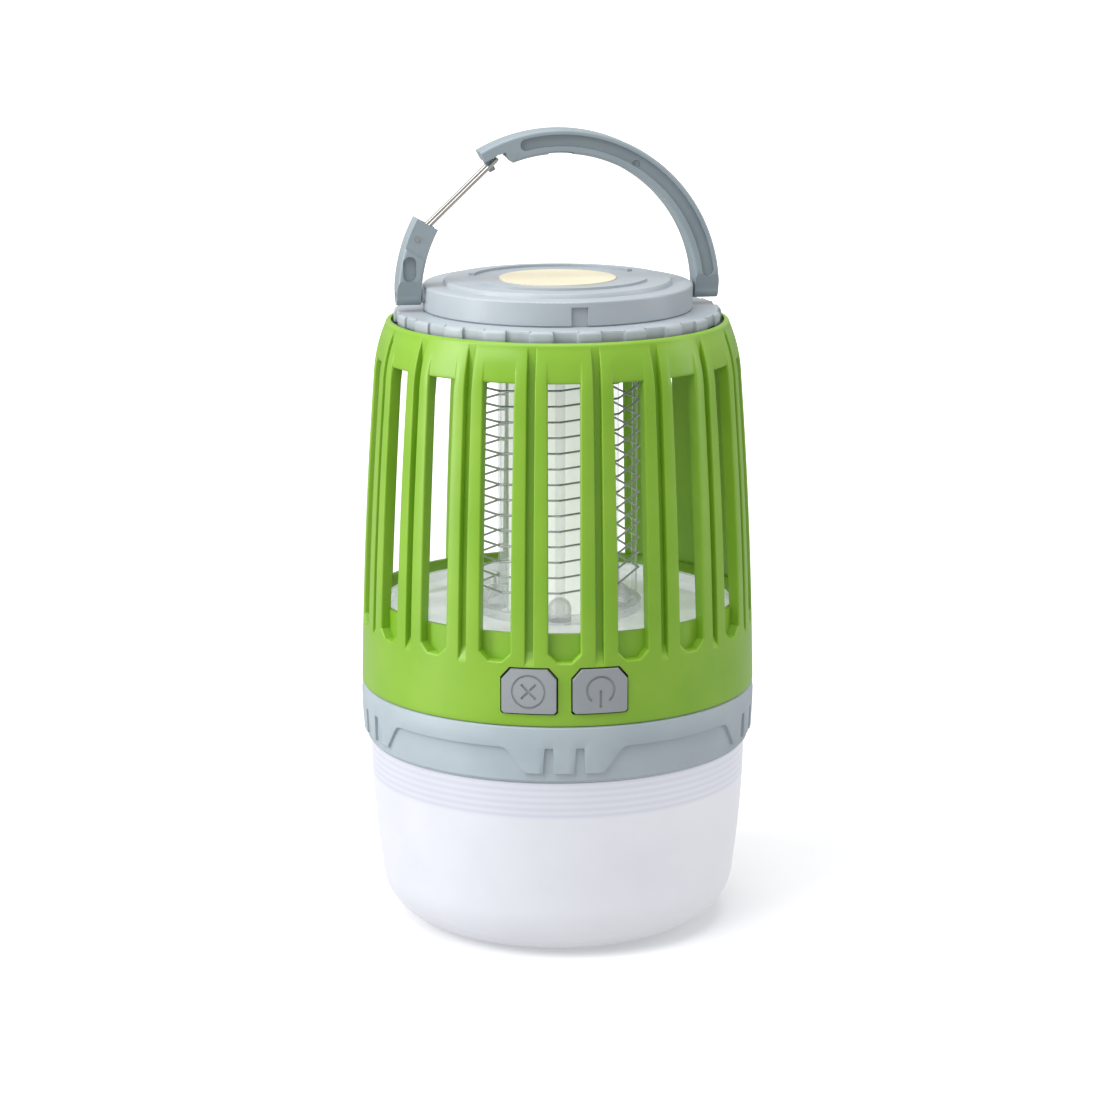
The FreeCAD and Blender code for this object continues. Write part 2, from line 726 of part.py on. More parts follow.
def cap_ring():
    """Knurled threaded closure; solid top plate, hollow threaded skirt."""
    body = turned_polygon([
        (0, 139.4),
        (33.2, 139.4),
        (33.2, CAP_PLUG_LOW_Z),
        (CAP_CORE_R, CAP_PLUG_LOW_Z),
        (CAP_CORE_R, 139.05),
        (CAP_RING_ROOT_R, 139.05),
        (CAP_RING_ROOT_R, 141.5),
        (36.0, CAP_RING_TOP_Z),
        (0, CAP_RING_TOP_Z),
    ])
    ridge = thread(CAP_CORE_R, CAP_CREST_R, CAP_PITCH, 1.75, 132.6, 1.25, 0.75)
    pad = turned_polygon([
        (35.8, 139.05),
        (CAP_RING_R, 139.05),
        (CAP_RING_R, 141.3),
        (36.6, CAP_RING_TOP_Z),
        (35.8, CAP_RING_TOP_Z),
    ])
    step = 360.0 / KNURLS
    gaps = [sector(35.0, 38.0, 138.0, 143.0, k * step + 4.1, k * step + step - 4.1)
            for k in range(KNURLS)]
    body = body.fuse([ridge, pad.cut(gaps)])
    holes = [Part.makeCylinder(1.2, 4.0, V(x, y, 138.5)) for x, y, z in cap_screw_places()]
    return around(body.cut(holes), CAP_TURN)


def cap_screw(index):
    """Screw that ties the hook plate to the cap ring from below."""
    x, y, z = cap_screw_places()[index]
    head = Part.makeCylinder(2.0, 1.2, V(x, y, 138.2))
    shank = Part.makeCylinder(1.0, 4.8, V(x, y, 139.4))
    return around(head.fuse(shank), CAP_TURN)


def hook_plate():
    """Stepped round boss on the cap: it carries the handle's axle, the ribs and the label."""
    low = DISC_LOW_Z
    edges = [
        line((0, low), (DISC_R - 0.3, low)),
        line((DISC_R - 0.3, low), (DISC_R, low + 0.3)),
        line((DISC_R, low + 0.3), (DISC_R, DISC_TOP_Z - 0.5)),
        arc((DISC_R, DISC_TOP_Z - 0.5), (DISC_R - 0.15, DISC_TOP_Z - 0.15),
            (DISC_R - 0.5, DISC_TOP_Z)),
        line((DISC_R - 0.5, DISC_TOP_Z), (DISC_STEP_R + 0.25, DISC_TOP_Z)),
        line((DISC_STEP_R + 0.25, DISC_TOP_Z), (DISC_STEP_R, DISC_FACE_Z - 0.25)),
        line((DISC_STEP_R, DISC_FACE_Z - 0.25), (DISC_STEP_R - 0.25, DISC_FACE_Z)),
        line((DISC_STEP_R - 0.25, DISC_FACE_Z), (0, DISC_FACE_Z)),
        line((0, DISC_FACE_Z), (0, low)),
    ]
    body = turned(edges)
    hollow = tube(5.0, 26.0, low - 1, DISC_CEILING_Z)
    boss_h = DISC_CEILING_Z + 0.5 - low
    bosses = [Part.makeCylinder(2.8, boss_h, V(x, y, low)) for x, y, z in cap_screw_places()]
    ears = [rod(1.75, (s * 27.0, 0, PIVOT_Z), (s * 31.1, 0, PIVOT_Z)) for s in (-1, 1)]
    ribs = [sector(19.3, 20.6, DISC_FACE_Z - 0.3, DISC_FACE_Z + 0.55, a - 67, a + 67) for a in (0, 180)]
    body = body.cut(hollow).fuse(bosses + ears + ribs)
    notch = around(box(-1.85, 1.85, -31.5, -29.7, low - 1, DISC_TOP_Z - 1.3), -1.8)
    bore = rod(AXLE_R + 0.05, (-40, 0, PIVOT_Z), (40, 0, PIVOT_Z))
    holes = [Part.makeCylinder(1.02, 3.6, V(x, y, low - 1)) for x, y, z in cap_screw_places()]
    return around(body.cut([notch, bore] + holes), CAP_TURN)


def label_disc():
    """Plain round label on the cap."""
    disc = Part.makeCylinder(LABEL_R, 0.25, V(0, 0, DISC_FACE_Z))
    return around(disc, CAP_TURN)


# ---- handle -------------------------------------------------------------------------------------
def bow(start, end, r_in, r_out, half_t):
    """A flat arc of the carrying hook in its own plane, between two angles from +X."""
    centre = V(0, half_t, HANDLE_CENTRE_Z)
    outer = Part.makeCylinder(r_out, 2 * half_t, centre, V(0, -1, 0), end - start)
    inner = Part.makeCylinder(r_in, 2 * half_t, centre, V(0, -1, 0), end - start)
    piece = outer.cut(inner)
    piece.rotate(centre, V(0, 1, 0), bow_turn(piece, (start + end) / 2))
    return piece


def bow_turn(piece, middle):
    """The turn about Y that puts the arc's middle at the wanted angle from +X."""
    c = piece.Solids[0].CenterOfMass
    now = math.degrees(math.atan2(c.z - HANDLE_CENTRE_Z, c.x))
    return now - middle


def bow_rod(angle, r_at, r, half_t):
    """A round plug across the hook's plane, at an angle from +X."""
    a = math.radians(angle)
    x = r_at * math.cos(a)
    z = HANDLE_CENTRE_Z + r_at * math.sin(a)
    return rod(r, (x, -half_t, z), (x, half_t, z))


def side_outline():
    """The hook as seen from its side: straight above the clip line, tapering to round hinge ends."""
    eye = rod(PIVOT_END_R, (-45, 0, PIVOT_Z), (45, 0, PIVOT_Z))
    h = HANDLE_T / 2
    corners = [
        V(-45, -PIVOT_END_R, PIVOT_Z),
        V(-45, PIVOT_END_R, PIVOT_Z),
        V(-45, h, LEG_CLIP_Z),
        V(-45, h, 190.0),
        V(-45, -h, 190.0),
        V(-45, -h, LEG_CLIP_Z),
    ]
    plate = Part.Face(Part.makePolygon(corners + corners[:1])).extrude(V(90.0, 0, 0))
    return eye.fuse(plate)


def axle_bore():
    """Hole for the axle through both legs."""
    return rod(AXLE_R, (-40, 0, PIVOT_Z), (40, 0, PIVOT_Z))


def rounded(shape, r):
    """The long rim edges of a bow, rounded."""
    rims = [e for e in shape.Edges if e.Length > 12 and abs(abs(e.CenterOfMass.y) - HANDLE_T / 2) < 0.01]
    return shape.makeFillet(r, rims)


def handle_arm():
    """Long side of the hook: leg, bow and nose with the notch for the wire gate."""
    h = HANDLE_T / 2
    arm = rounded(bow(LEG_LOW_ANGLE, NOSE_ANGLE, HANDLE_IN_R, HANDLE_OUT_R, h), 0.7)
    arm = arm.common(side_outline())
    depth = 1.1
    channel_in = HANDLE_IN_R + 1.65
    channel_out = HANDLE_OUT_R - 1.1
    middle = (channel_in + channel_out) / 2
    for side in (-1, 1):
        channel = bow(7.5, 102.9, channel_in, channel_out, 1.0)
        ends = [bow_rod(a, middle, (channel_out - channel_in) / 2, 1.0) for a in (7.5, 102.9)]
        channel = channel.fuse(ends)
        channel.translate(V(0, side * (h - depth + 1.0), 0))
        arm = arm.cut(channel)
    gap = bow(84.5, 94.7, HANDLE_IN_R - 1.0, HANDLE_IN_R + 0.55, 1.5)
    gap.translate(V(0, -h + 1.5, 0))
    ejector = rod(0.9, (17.55, -h + 0.5, 174.05), (17.55, -h + depth + 0.35, 174.05))
    reliefs = [nose_relief(s) for s in (-1, 1)]
    return around(arm.cut([gap, ejector, gate_notch(), axle_bore()] + reliefs), CAP_TURN)


def nose_relief(side):
    """Relief beside the nose where a gate wire lies."""
    relief = bow(111.0, 123.0, HANDLE_IN_R - 1.0, 34.3, 1.5)
    relief.translate(V(0, side * (0.9 + 1.5), 0))
    return relief


def gate_direction():
    """Unit vector from the gate's pivot to its closed end, in the handle plane."""
    du = GATE_END[0] - GATE_PIVOT[0]
    dz = GATE_END[1] - GATE_PIVOT[1]
    n = math.hypot(du, dz)
    return du / n, dz / n


def gate_notch():
    """Hooked seat for the gate's crossbar, open toward the inside of the hook."""
    x, z = GATE_END
    seat = rod(GATE_WIRE_R + 0.3, (x, -4.0, z), (x, 4.0, z))
    corners = []
    for r, degrees in ((30.4, 116.9), (33.2, 116.9), (34.5, 114.2), (34.0, 112.0), (32.2, 110.2), (30.4, 109.0)):
        a = math.radians(degrees)
        corners.append(V(r * math.cos(a), -4.0, HANDLE_CENTRE_Z + r * math.sin(a)))
    slot = Part.Face(Part.makePolygon(corners + corners[:1])).extrude(V(0, 8.0, 0))
    return seat.fuse(slot)


def handle_stub():
    """Short side of the hook: leg and the slotted end that carries the wire gate."""
    h = HANDLE_T / 2
    stub = rounded(bow(STUB_ANGLE, 180.0 - LEG_LOW_ANGLE, HANDLE_IN_R, HANDLE_OUT_R, h), 0.7)
    stub = stub.common(side_outline())
    x, z = GATE_PIVOT
    room = rod(1.35, (x, -2.5, z), (x, 2.5, z))
    wedge = Part.makeCylinder(14.0, 5.0, V(x, 2.5, z), V(0, -1, 0), 90.0)
    c = wedge.Solids[0].CenterOfMass
    now = math.degrees(math.atan2(c.z - z, c.x - x))
    wedge.rotate(V(x, 0, z), V(0, 1, 0), now - 24.0)
    pin = rod(0.62, (x, -5, z), (x, 5, z))
    cutters = [room, wedge, pin, axle_bore()]
    for side in (-1, 1):
        outer = side * h
        inner = side * (h - 1.1)
        cutters.append(rod(1.5, (-34.15, outer, 150.3), (-34.15, inner, 150.3)))
        cutters.append(rod(1.5, (-34.15, outer, 153.0), (-34.15, inner, 153.0)))
        cutters.append(box(-35.65, -32.65, min(outer, inner), max(outer, inner), 150.3, 153.0))
        cutters.append(stub_step(side))
    return around(stub.cut(cutters), CAP_TURN)


def stub_step(side):
    """The slanted step across a face of the stub: its upper part lies a little lower."""
    y = side * (HANDLE_T / 2 - 0.3)
    corners = [V(-40.0, y, 159.7), V(-27.0, y, 151.0), V(-20.0, y, 151.0), V(-20.0, y, 172.0), V(-40.0, y, 172.0)]
    return Part.Face(Part.makePolygon(corners + corners[:1])).extrude(V(0, side * 2.0, 0))


def handle_axle():
    """Steel axle through both legs and the hook plate."""
    pin = rod(AXLE_R, (-36.7, 0, PIVOT_Z), (36.7, 0, PIVOT_Z))
    return around(pin, CAP_TURN)


def gate_pin():
    """Rivet the wire gate swings on."""
    x, z = GATE_PIVOT
    return around(rod(0.6, (x, -3.4, z), (x, 3.4, z)), CAP_TURN)


def wire_gate():
    """Sprung wire loop: two eyes on the rivet, two legs and the crossbar."""
    x, z = GATE_PIVOT
    ex, ez = GATE_END
    du, dz = gate_direction()
    r = GATE_WIRE_R
    pieces = []
    for side in (-1, 1):
        y = side * GATE_HALF_GAP
        pieces.append(rod(1.1, (x, y - r, z), (x, y + r, z)))
        pieces.append(rod(r, (x + du, y, z + dz), (ex, y, ez)))
        pieces.append(Part.makeSphere(r, V(ex, y, ez)))
    bar = rod(r, (ex, -GATE_HALF_GAP, ez), (ex, GATE_HALF_GAP, ez))
    bore = rod(0.65, (x, -5, z), (x, 5, z))
    return around(bar.fuse(pieces).cut(bore), CAP_TURN)


# ---- write every node ---------------------------------------------------------------------------
save(lamp_shade(), "lamp_shade")
save(shade_seal(), "shade_seal")
save(base_housing(), "base_housing")
for piece, name in zip(cage(), ("cage_lower_band", "cage_staves", "cage_top_band")):
    save(piece, name)
save(button(-1, cross_marks()), "button_left")
save(button(1, power_marks()), "button_right")
save(port_flap(), "port_flap")
save(flap_pin(), "flap_pin")
save(usb_socket(), "usb_socket")
save(charge_light(), "charge_light")
save(main_board(), "main_board")
for n, a in enumerate((45.0, 135.0, 225.0, 315.0)):
    save(board_screw(a), "board_screw_" + str(n + 1))
save(tact_switch(-1), "tact_switch_left")
save(tact_switch(1), "tact_switch_right")
save(transformer_core(), "transformer_core")
save(transformer_coil(), "transformer_coil")
save(film_capacitor(), "film_capacitor")
save(can_capacitor(), "can_capacitor")
save(battery_cell(), "battery_cell")
save(battery_holder(), "battery_holder")
save(battery_contact(1), "battery_contact_positive")
save(battery_contact(-1), "battery_contact_negative")
save(lamp_board(), "lamp_board")
save(lamp_leds(), "lamp_leds")
save(lamp_screw(-24.0), "lamp_screw_left")
save(lamp_screw(24.0), "lamp_screw_right")
save(chamber_floor(), "chamber_floor")
save(uv_board(), "uv_board")
for n, a in enumerate(led_angles()):
    save(uv_led(a), "uv_led_" + str(n + 1))
save(grid_frame(), "grid_frame")
save(grid_wire(135.0, GRID_LOW_Z + GRID_STEP / 2, GRID_TURNS - 0.25), "grid_wire_live")
save(grid_wire(225.0, GRID_LOW_Z, GRID_TURNS), "grid_wire_return")
save(hv_lead(135.0, GRID_LOW_Z + GRID_STEP / 2), "hv_lead_live")
save(hv_lead(225.0, GRID_LOW_Z), "hv_lead_return")
save(light_tube(), "light_tube")
save(grid_top(), "grid_top")
save(cap_seal(), "cap_seal")
save(cap_ring(), "cap_ring")
for n in range(3):
    save(cap_screw(n), "cap_screw_" + str(n + 1))
save(hook_plate(), "hook_plate")
save(label_disc(), "label_disc")
save(handle_arm(), "handle_arm")
save(handle_stub(), "handle_stub")
save(handle_axle(), "handle_axle")
save(gate_pin(), "gate_pin")
save(wire_gate(), "wire_gate")
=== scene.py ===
import json
import math

import bmesh
import bpy
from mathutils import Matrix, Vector


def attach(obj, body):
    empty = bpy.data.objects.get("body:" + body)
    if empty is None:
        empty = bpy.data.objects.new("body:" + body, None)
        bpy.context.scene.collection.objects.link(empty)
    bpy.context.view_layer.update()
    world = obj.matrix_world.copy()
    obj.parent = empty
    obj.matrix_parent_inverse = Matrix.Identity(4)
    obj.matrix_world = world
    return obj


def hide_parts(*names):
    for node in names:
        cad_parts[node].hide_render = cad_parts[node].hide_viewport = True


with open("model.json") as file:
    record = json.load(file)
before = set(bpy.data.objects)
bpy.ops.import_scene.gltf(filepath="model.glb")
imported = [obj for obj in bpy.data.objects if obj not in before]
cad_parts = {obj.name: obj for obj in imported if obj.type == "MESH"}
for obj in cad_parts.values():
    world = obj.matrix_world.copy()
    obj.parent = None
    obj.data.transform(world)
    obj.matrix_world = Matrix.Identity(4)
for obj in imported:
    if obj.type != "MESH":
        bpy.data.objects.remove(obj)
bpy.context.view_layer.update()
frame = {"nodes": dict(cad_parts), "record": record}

MM = 0.001
nodes = frame["nodes"]

# ---- camera -------------------------------------------------------------------------------------
TARGET = Vector((0.0, 0.0, 0.08556))
DISTANCE = 0.7579
TURN = math.radians(-2.0)
TILT = math.radians(12.563)
camera_data = bpy.data.cameras.new("camera")
camera_data.lens = 107.92
camera_data.sensor_width = 36.0
camera_data.shift_x = -0.0068
camera_data.clip_start = 0.01
camera = bpy.data.objects.new("camera", camera_data)
bpy.context.scene.collection.objects.link(camera)
away = Vector((math.sin(TURN) * math.cos(TILT), -math.cos(TURN) * math.cos(TILT), math.sin(TILT)))
camera.location = TARGET + away * DISTANCE
camera.rotation_euler = (-away).to_track_quat("-Z", "Y").to_euler()
bpy.context.scene.camera = camera


# ---- materials ----------------------------------------------------------------------------------
def srgb(r, g, b):
    """A colour given as 0-255 screen values, as linear light."""
    def one(v):
        v /= 255.0
        return v / 12.92 if v <= 0.04045 else ((v + 0.055) / 1.055) ** 2.4
    return (one(r), one(g), one(b), 1.0)


def node(tree, kind, **inputs):
    """A shader node with its inputs set by name."""
    made = tree.nodes.new(kind)
    for key, value in inputs.items():
        made.inputs[key.replace("_", " ")].default_value = value
    return made


def math_node(tree, operation):
    """A shader maths node."""
    made = tree.nodes.new("ShaderNodeMath")
    made.operation = operation
    return made


def colour_mix(tree):
    """A shader node mixing two colours, and its factor, first, second and result sockets."""
    made = tree.nodes.new("ShaderNodeMix")
    made.data_type = "RGBA"
    return made.inputs[0], made.inputs[6], made.inputs[7], made.outputs[2]


def plastic(name, low, high, rough, grain=900.0, bump=0.06, cloud=60.0, spread=0.06, **sockets):
    """Moulded plastic or metal: cloudy colour, a fine moulded grain and uneven gloss."""
    material = bpy.data.materials.new(name)
    material.use_nodes = True
    tree = material.node_tree
    shader = tree.nodes["Principled BSDF"]
    for key, value in sockets.items():
        shader.inputs[key.replace("_", " ")].default_value = value
    place = tree.nodes.new("ShaderNodeTexCoord")
    clouds = node(tree, "ShaderNodeTexNoise", Scale=cloud, Detail=3.0)
    fine = node(tree, "ShaderNodeTexNoise", Scale=grain, Detail=2.0)
    for texture in (clouds, fine):
        tree.links.new(place.outputs["Object"], texture.inputs["Vector"])
    ramp = tree.nodes.new("ShaderNodeValToRGB")
    ramp.color_ramp.elements[0].position = 0.32
    ramp.color_ramp.elements[1].position = 0.68
    ramp.color_ramp.elements[0].color = low
    ramp.color_ramp.elements[1].color = high
    tree.links.new(clouds.outputs["Fac"], ramp.inputs["Fac"])
    tree.links.new(ramp.outputs["Color"], shader.inputs["Base Color"])
    gloss = tree.nodes.new("ShaderNodeMapRange")
    gloss.inputs["To Min"].default_value = max(rough - spread, 0.02)
    gloss.inputs["To Max"].default_value = rough + spread
    tree.links.new(clouds.outputs["Fac"], gloss.inputs["Value"])
    tree.links.new(gloss.outputs["Result"], shader.inputs["Roughness"])
    if bump:
        raised = node(tree, "ShaderNodeBump", Strength=bump, Distance=0.0001)
        tree.links.new(fine.outputs["Fac"], raised.inputs["Height"])
        tree.links.new(raised.outputs["Normal"], shader.inputs["Normal"])
    return material


def clear(name, low, high, facing, edge, **sockets):
    """Thin clear moulding: see-through face on, denser toward its edges, with faint flow marks."""
    material = plastic(name, low, high, 0.06, grain=400.0, bump=0.03, spread=0.02, **sockets)
    tree = material.node_tree
    weight = node(tree, "ShaderNodeLayerWeight", Blend=0.35)
    dense = node(tree, "ShaderNodeMapRange", To_Min=facing, To_Max=edge)
    tree.links.new(weight.outputs["Facing"], dense.inputs["Value"])
    tree.links.new(dense.outputs["Result"], tree.nodes["Principled BSDF"].inputs["Alpha"])
    return material


GREEN = plastic("guard_green", srgb(124, 172, 40), srgb(134, 179, 50), 0.34, bump=0.05)
COLLAR = plastic("housing_grey", srgb(166, 178, 186), srgb(174, 186, 193), 0.42, bump=0.05)
CAP = plastic("cap_grey", srgb(166, 175, 181), srgb(174, 182, 188), 0.36, bump=0.05)
HANDLE = plastic("handle_grey", srgb(141, 154, 161), srgb(150, 162, 168), 0.38, bump=0.05)
KEY = plastic("key_grey", srgb(143, 148, 153), srgb(151, 156, 161), 0.42, bump=0.05)
SEAL = plastic("seal_rubber", srgb(34, 35, 37), srgb(46, 47, 49), 0.7, bump=0.12)
FLAP = plastic("flap_rubber", srgb(72, 76, 80), srgb(80, 84, 88), 0.62, bump=0.12)
STEEL = plastic("steel", srgb(182, 184, 188), srgb(206, 208, 210), 0.24, bump=0.03, Metallic=1.0)
SPRING = plastic("spring_steel", srgb(186, 183, 178), srgb(202, 199, 194), 0.16, bump=0.02, Metallic=1.0)
BOARD = plastic("board_green", srgb(24, 74, 44), srgb(34, 92, 56), 0.4, cloud=300.0)
LAMPBOARD = plastic("board_white", srgb(228, 229, 226), srgb(238, 238, 235), 0.4)
FERRITE = plastic("ferrite", srgb(50, 50, 54), srgb(64, 64, 68), 0.7, bump=0.2)
TAPE = plastic("coil_tape", srgb(190, 150, 50), srgb(206, 166, 66), 0.4)
FILM = plastic("film_blue", srgb(52, 82, 160), srgb(62, 94, 172), 0.3)
SLEEVE = plastic("can_sleeve", srgb(34, 40, 54), srgb(44, 50, 64), 0.3)
BLACK = plastic("switch_black", srgb(30, 31, 33), srgb(40, 41, 43), 0.5)
WRAP = plastic("cell_wrap", srgb(54, 112, 182), srgb(64, 124, 192), 0.25)
HOLDER = plastic("holder_black", srgb(40, 41, 43), srgb(50, 51, 53), 0.5)
LABEL = plastic("label_cream", srgb(228, 219, 190), srgb(235, 227, 200), 0.45)
LEAD = plastic("lead_white", srgb(218, 219, 217), srgb(230, 231, 229), 0.45)
CHIP = plastic("chip_yellow", srgb(228, 208, 112), srgb(240, 222, 130), 0.4)
CLEAR = clear("clear_plastic", srgb(206, 211, 211), srgb(214, 218, 218), 0.10, 0.75)
# Painted glow: the clear tube and the chamber floor get a weak emission that stands in for light reaching
# the inside of the cage; neither is a lamp.
GLOWING_TUBE = clear("clear_tube", srgb(236, 238, 233), srgb(242, 243, 239), 0.78, 0.95,
             Emission_Color=(0.9, 0.93, 0.9, 1), Emission_Strength=0.34)
GLOWING_DISH = clear("clear_dish", srgb(236, 239, 241), srgb(242, 245, 246), 0.90, 0.97,
             Emission_Color=(0.95, 0.97, 1, 1), Emission_Strength=0.16)
LED = clear("led_clear", srgb(214, 217, 220), srgb(222, 225, 228), 0.15, 0.9)


# Painted shade: the height band and line pitch of the darker lines painted on the shade where the neck's
# thread shows through.
SHADE_BAND = (0.0338, 0.0348)
THREAD_LINES = 0.0015


def shade_plastic():
    """Milky lamp plastic with a painted glow, and painted darker lines in its upper band standing for the
    neck's thread seen through the wall.
    """
    # Painted glow: the base colour is greyed and an emission supplies about half the shade's brightness,
    # standing in for light passing through the milky wall; the lamp is off, so in a dark scene the shade
    # will look lit.
    material = plastic("shade_white", srgb(168, 170, 179), srgb(175, 177, 185), 0.34, grain=500.0,
                       bump=0.03, Subsurface_Weight=0.5, Subsurface_Radius=(0.006, 0.006, 0.0065),
                       Emission_Color=(0.95, 0.965, 1.0, 1), Emission_Strength=0.39)
    tree = material.node_tree
    shader = tree.nodes["Principled BSDF"]
    # Painted shade: above the 33.8-34.8 mm band a sine in height darkens the base colour in lines toward a
    # blue-grey, standing in for the thread seen through the wall.
    place = tree.nodes.new("ShaderNodeTexCoord")
    split = tree.nodes.new("ShaderNodeSeparateXYZ")
    band = node(tree, "ShaderNodeMapRange", From_Min=SHADE_BAND[0], From_Max=SHADE_BAND[1],
                To_Min=0.0, To_Max=0.4)
    turns = math_node(tree, "MULTIPLY")
    turns.inputs[1].default_value = 2 * math.pi / THREAD_LINES
    wave = math_node(tree, "SINE")
    lines = node(tree, "ShaderNodeMapRange", From_Min=-1.0, From_Max=1.0, To_Min=0.5, To_Max=1.5)
    amount = math_node(tree, "MULTIPLY")
    factor, plain, thread_shadow, result = colour_mix(tree)
    thread_shadow.default_value = srgb(132, 135, 160)
    link = tree.links.new
    link(place.outputs["Object"], split.inputs["Vector"])
    link(split.outputs["Z"], band.inputs["Value"])
    link(split.outputs["Z"], turns.inputs[0])
    link(turns.outputs["Value"], wave.inputs[0])
    link(wave.outputs["Value"], lines.inputs["Value"])
    link(band.outputs["Result"], amount.inputs[0])
    link(lines.outputs["Result"], amount.inputs[1])
    link(amount.outputs["Value"], factor)
    link(shader.inputs["Base Color"].links[0].from_socket, plain)
    link(result, shader.inputs["Base Color"])
    return material


SHADE = shade_plastic()

by_slot = {
    "guard_green": GREEN, "housing_grey": COLLAR, "cap_grey": CAP, "handle_grey": HANDLE,
    "key_grey": KEY, "seal_rubber": SEAL, "flap_rubber": FLAP, "steel": STEEL,
    "spring_steel": SPRING, "board_green": BOARD, "board_white": LAMPBOARD, "ferrite": FERRITE,
    "coil_tape": TAPE, "film_blue": FILM, "can_sleeve": SLEEVE, "switch_black": BLACK,
    "cell_wrap": WRAP, "holder_black": HOLDER, "label_cream": LABEL, "lead_white": LEAD,
    "chip_yellow": CHIP, "clear_plastic": CLEAR, "led_clear": LED, "shade_white": SHADE,
}
by_node = {"light_tube": GLOWING_TUBE, "chamber_floor": GLOWING_DISH}
for part in frame["record"]["subparts"]:
    thing = nodes[part["node"]]
    chosen = by_node.get(part["node"], by_slot[part["material_slot"]])
    if not thing.material_slots:
        thing.data.materials.append(chosen)
    for place in thing.material_slots:
        place.material = chosen


# ---- edges and shading --------------------------------------------------------------------------
def smooth_group(angle):
    """Geometry nodes that shade smooth except across edges sharper than the angle."""
    group = bpy.data.node_groups.new("smooth_by_angle", "GeometryNodeTree")
    group.interface.new_socket("Geometry", in_out="INPUT", socket_type="NodeSocketGeometry")
    group.interface.new_socket("Geometry", in_out="OUTPUT", socket_type="NodeSocketGeometry")
    start = group.nodes.new("NodeGroupInput")
    end = group.nodes.new("NodeGroupOutput")
    faces = group.nodes.new("GeometryNodeSetShadeSmooth")
    edges = group.nodes.new("GeometryNodeSetShadeSmooth")
    edges.domain = "EDGE"
    measure = group.nodes.new("GeometryNodeInputMeshEdgeAngle")
    gentle = group.nodes.new("FunctionNodeCompare")
    gentle.data_type = "FLOAT"
    gentle.operation = "LESS_THAN"
    gentle.inputs[1].default_value = angle
    link = group.links.new
    link(start.outputs[0], faces.inputs["Geometry"])
    link(faces.outputs[0], edges.inputs["Geometry"])
    link(measure.outputs["Unsigned Angle"], gentle.inputs[0])
    link(gentle.outputs[0], edges.inputs["Shade Smooth"])
    link(edges.outputs[0], end.inputs[0])
    return group


SMOOTH = smooth_group(math.radians(32.0))


def soften(name, width):
    """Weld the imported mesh, merge its flat facets, round its edges and smooth its shading."""
    thing = nodes[name]
    weld = thing.modifiers.new("weld", "WELD")
    weld.merge_threshold = 0.000002
    if width:
        flat = thing.modifiers.new("flat", "DECIMATE")
        flat.decimate_type = "DISSOLVE"
        flat.angle_limit = math.radians(0.6)
        round_off = thing.modifiers.new("round", "BEVEL")
        round_off.width = width
        round_off.segments = 2
        round_off.limit_method = "ANGLE"
        round_off.angle_limit = math.radians(38.0)
        round_off.use_clamp_overlap = False
        round_off.miter_outer = "MITER_ARC"
    shade = thing.modifiers.new("shade", "NODES")
    shade.node_group = SMOOTH


rounded = {"base_housing": 0.14, "cap_ring": 0.3}
for name in nodes:
    soften(name, rounded.get(name, 0) * MM)


# ---- guard --------------------------------------------------------------------------------------
SECTORS = 18
HALF_STEP = math.pi / SECTORS
WINDOW_HALF = 3.5
WINDOW_TOP = 131.0
WINDOW_FOOT = 70.2
FOOT_HALF = 1.6
WALL_START = 69.0
GROOVE_HALF = 0.875
RING_STEPS = 180
THREAD_STEPS = 72
EDGE_ROUND = 0.45
WINDOW_COLUMNS = (0, 1.6, 2.55, 3.5, 3.56, 3.65, 3.78, 3.95)
GROOVE_COLUMNS = (1.2, 1.08, 0.98, 0.91, 0.875, 0.86, 0.45, 0)


def arc_radius(a, b, c, z):
    """Radius at a height on the circle through three (radius, height) points."""
    d = 2 * (a[0] * (b[1] - c[1]) + b[0] * (c[1] - a[1]) + c[0] * (a[1] - b[1]))
    sq = [p[0] ** 2 + p[1] ** 2 for p in (a, b, c)]
    x = (sq[0] * (b[1] - c[1]) + sq[1] * (c[1] - a[1]) + sq[2] * (a[1] - b[1])) / d
    y = (sq[0] * (c[0] - b[0]) + sq[1] * (a[0] - c[0]) + sq[2] * (b[0] - a[0])) / d
    reach = math.sqrt(max((a[0] - x) ** 2 + (a[1] - y) ** 2 - (z - y) ** 2, 0.0))
    return x + math.copysign(reach, a[0] - x)


def along(points, z):
    """Straight-line value at a height through (height, value) points."""
    if z <= points[0][0]:
        return points[0][1]
    for (z0, v0), (z1, v1) in zip(points, points[1:]):
        if z <= z1:
            return v0 + (v1 - v0) * (z - z0) / (z1 - z0)
    return points[-1][1]


def outer_radius(z):
    """Outside of the guard."""
    if z <= 56.4:
        return arc_radius((44.6, 55.9), (44.93, 56.03), (45.1, 56.4), z)
    if z <= 126.0:
        return arc_radius((45.1, 56.4), (44.05, 89.0), (41.75, 126.0), z)
    if z <= 138.6:
        return arc_radius((41.75, 126.0), (41.0, 132.2), (38.95, 138.6), z)
    return arc_radius((38.95, 138.6), (38.6, 139.3), (38.2, 139.5), z)


def inner_radius(z):
    """Inside of the guard up to the cap's seat."""
    if 77.0 < z <= 126.0:
        return arc_radius((39.1, 126.0), (41.3, 92.0), (42.1, 77.0), z)
    return along([(55.9, 42.4), (66.0, 42.4), (77.0, 42.1), (77.001, 42.1), (126.0, 39.1),
                  (131.2, 38.4)], z)


def groove_floor(z):
    """Depth of the narrow groove down the middle of a stave."""
    floor_line = [(69.3, 44.9), (72.6, 43.1), (88.0, 42.5), (107.0, 41.4), (126.0, 40.1), (133.0, 39.3),
                  (139.0, 39.0)]
    return 0.0 if z < floor_line[0][0] else max(outer_radius(z) - along(floor_line, z), 0.0)


